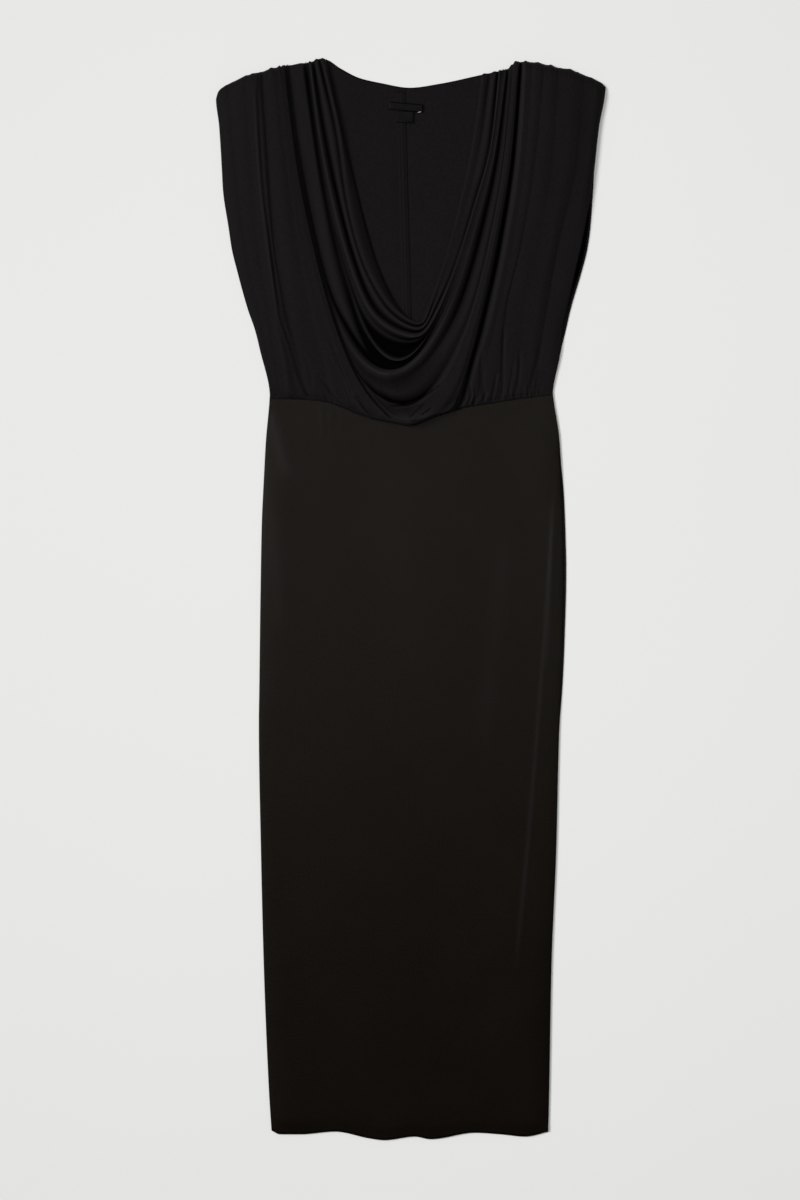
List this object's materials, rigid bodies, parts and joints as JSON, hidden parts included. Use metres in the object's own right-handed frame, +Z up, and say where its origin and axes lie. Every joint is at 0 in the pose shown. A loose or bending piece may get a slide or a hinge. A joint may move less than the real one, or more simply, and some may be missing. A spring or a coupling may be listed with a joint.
{
  "type": "maxi dress",
  "caption": "Sleeveless column maxi dress in black jersey, laid flat, with a deep draped cowl neck, wide gathered shoulders, gathered waist seam and plain hem.",
  "frame": {"origin": "centre of the footprint of the dress on the surface it lies on", "axes": "+Y from hem to shoulders, +X to the right as seen from above, +Z up out of the cloth"},
  "size_m": [0.5061, 1.4054, 0.031],
  "materials": {
    "bodice_jersey": "soft matte viscose jersey with a faint sheen, near black",
    "skirt_jersey": "soft matte viscose jersey with a faint sheen, near black, slightly warmer",
    "label_satin": "black woven satin label, blank"
  },
  "bodies": {
    "root": {"front_bodice": "bodice_jersey", "back_bodice_left": "bodice_jersey", "back_bodice_right": "bodice_jersey", "back_seam_allowance": "bodice_jersey", "front_skirt": "skirt_jersey", "back_skirt": "skirt_jersey", "neck_label": "label_satin", "size_tab": "label_satin"}
  },
  "joints": []
}
